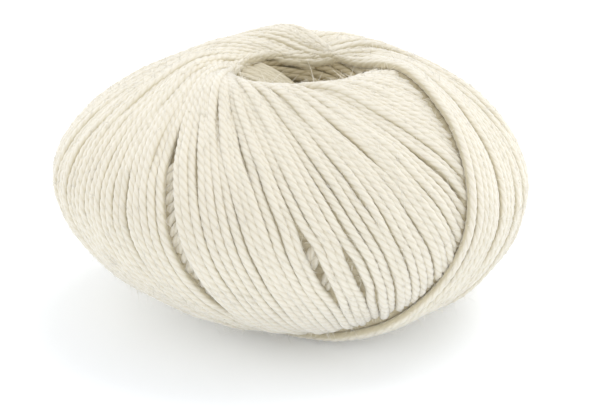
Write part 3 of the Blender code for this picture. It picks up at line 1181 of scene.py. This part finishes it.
@dataclass(frozen=True)
class Studio:
    """A white floor, soft light from above, and a camera where the photograph was taken from."""

    elevation: float = 20.32
    distance: float = 0.55
    pixels_per_mm: float = 4.449
    middle_pixel: tuple[float, float] = (290.62, 173.42)
    image: tuple[float, float] = (600.0, 420.0)
    sensor: float = 36.0
    floor_size: float = 6.0
    world_light: float = 0.85
    floor_glow: float = 0.12
    lamps: tuple[Lamp, ...] = (
        Lamp("key", (0.35, 0.35, 0.95), 4.5, 0.9),
        Lamp("front_fill", (-0.1, -1.1, 0.45), 1.8, 1.0),
        Lamp("left_edge", (-0.95, 0.55, 0.16), 4.0, 0.5),
        Lamp("right_edge", (0.95, 0.45, 0.16), 2.8, 0.5),
    )

    def build(self, form: WoundForm) -> None:
        """Sets up the floor, lights and camera round the ball."""
        self.add_floor()
        self.add_light()
        self.add_camera(form)

    def add_floor(self) -> None:
        """A white floor, which isn't part of the object."""
        half = self.floor_size / 2.0
        mesh = bpy.data.meshes.new("floor")
        mesh.from_pydata([(-half, -half, 0.0), (half, -half, 0.0), (half, half, 0.0), (-half, half, 0.0)], [],
                         [(0, 1, 2, 3)])
        floor = bpy.data.objects.new("floor", mesh)
        material = bpy.data.materials.new("white_floor")
        material.use_nodes = True
        shader = material.node_tree.nodes["Principled BSDF"]
        shader.inputs["Base Color"].default_value = (0.92, 0.948, 0.99, 1.0)
        shader.inputs["Emission Color"].default_value = (1.0, 1.0, 1.0, 1.0)
        shader.inputs["Emission Strength"].default_value = self.floor_glow
        shader.inputs["Roughness"].default_value = 0.9
        shader.inputs["Specular IOR Level"].default_value = 0.1
        mesh.materials.append(material)
        bpy.context.scene.collection.objects.link(floor)

    def add_light(self) -> None:
        """White light from all round, and the large soft lamps."""
        world = bpy.data.worlds.new("studio")
        world.use_nodes = True
        background = world.node_tree.nodes["Background"]
        background.inputs["Color"].default_value = (1.0, 1.0, 1.0, 1.0)
        background.inputs["Strength"].default_value = self.world_light
        bpy.context.scene.world = world
        for plan in self.lamps:
            lamp = bpy.data.lights.new(plan.name, "AREA")
            lamp.shape = "DISK"
            lamp.size = plan.size
            lamp.energy = plan.power
            placed = bpy.data.objects.new(plan.name, lamp)
            placed.location = plan.place
            placed.rotation_euler = (Vector((0.0, 0.0, 0.02)) - placed.location).to_track_quat("-Z", "Y").to_euler()
            bpy.context.scene.collection.objects.link(placed)

    def add_camera(self, form: WoundForm) -> None:
        """The camera, aimed so that the ball's middle falls on its own pixel of the photograph's frame."""
        tip = math.radians(self.elevation)
        away = Vector((0.0, -math.cos(tip), math.sin(tip)))
        up = Vector((0.0, math.sin(tip), math.cos(tip)))
        middle = Vector(form.middle_in_frame) * MM
        right = (self.image[0] / 2.0 - self.middle_pixel[0]) / self.pixels_per_mm * MM
        down = (self.image[1] / 2.0 - self.middle_pixel[1]) / self.pixels_per_mm * MM
        camera = bpy.data.cameras.new("camera")
        camera.sensor_width = self.sensor
        camera.lens = self.pixels_per_mm * self.distance / MM / self.image[0] * self.sensor
        camera.clip_start, camera.clip_end = 0.01, 20.0
        eye = bpy.data.objects.new("camera", camera)
        eye.location = middle + away * self.distance
        target = middle + Vector((right, 0.0, 0.0)) - up * down
        eye.rotation_euler = (target - eye.location).to_track_quat("-Z", "Y").to_euler()
        bpy.context.scene.collection.objects.link(eye)
        bpy.context.scene.camera = eye


def main() -> None:
    """Builds the studio and the ball, piece by piece."""
    logging.basicConfig(level=logging.INFO, format="%(name)s: %(message)s")
    bpy.context.scene.view_settings.view_transform = "Standard"
    form = WoundForm()
    Studio().build(form)
    group = wool_group()
    # The crease and flank colours are painted shade, darker in the creases between plies and where the turns meet.
    wool = WoolFinish(
        "undyed_wool", (0.82, 0.775, 0.665, 1.0), (0.72, 0.66, 0.52, 1.0), (0.64, 0.58, 0.425, 1.0)
    ).material(group)
    # The core is the same wool in a darker colour: painted shade where it shows between the turns and in the hollows.
    inner = WoolFinish(
        "core_wool_painted_shade", (0.66, 0.60, 0.45, 1.0), (0.48, 0.41, 0.27, 1.0), (0.48, 0.41, 0.27, 1.0), bump=0.6, sheen=0.1
    )
    shaded = WoolFinish(
        "shaded_wool", (0.52, 0.45, 0.30, 1.0), (0.38, 0.31, 0.18, 1.0), (0.34, 0.28, 0.15, 1.0), sheen=0.1
    )
    # The slack turns are the same wool in a darker colour: painted shade inside the hollow.
    slack = WoolFinish(
        "slack_wool_painted_shade", (0.66, 0.605, 0.47, 1.0), (0.57, 0.51, 0.37, 1.0), (0.42, 0.36, 0.23, 1.0), sheen=0.3
    )
    # Its crease and flank colours are painted shade too.
    hair = WoolFinish(
        "stray_wool", (0.90, 0.86, 0.76, 1.0), (0.85, 0.80, 0.68, 1.0), (0.85, 0.80, 0.68, 1.0), bump=0.0
    ).material(group)
    winding = Winding(form)
    winding.place_loops()
    winding.lay()
    turns = Turns(winding, wool)
    turns.build()
    Core(winding, inner.material(group)).build()
    walls, across = shaded.material(group), slack.material(group)
    HollowTurns(form, TOP_HOLLOW, walls, across, arcs=44, slack_arcs=16).build("hollow")
    HollowTurns(form, LOWER_HOLLOW, walls, across, arcs=20, slack_arcs=12, slack_from=0.5, seed=22).build("lower_hollow")
    LooseFibres(winding, turns.shown, hair).build()


if __name__ == "__main__":
    main()
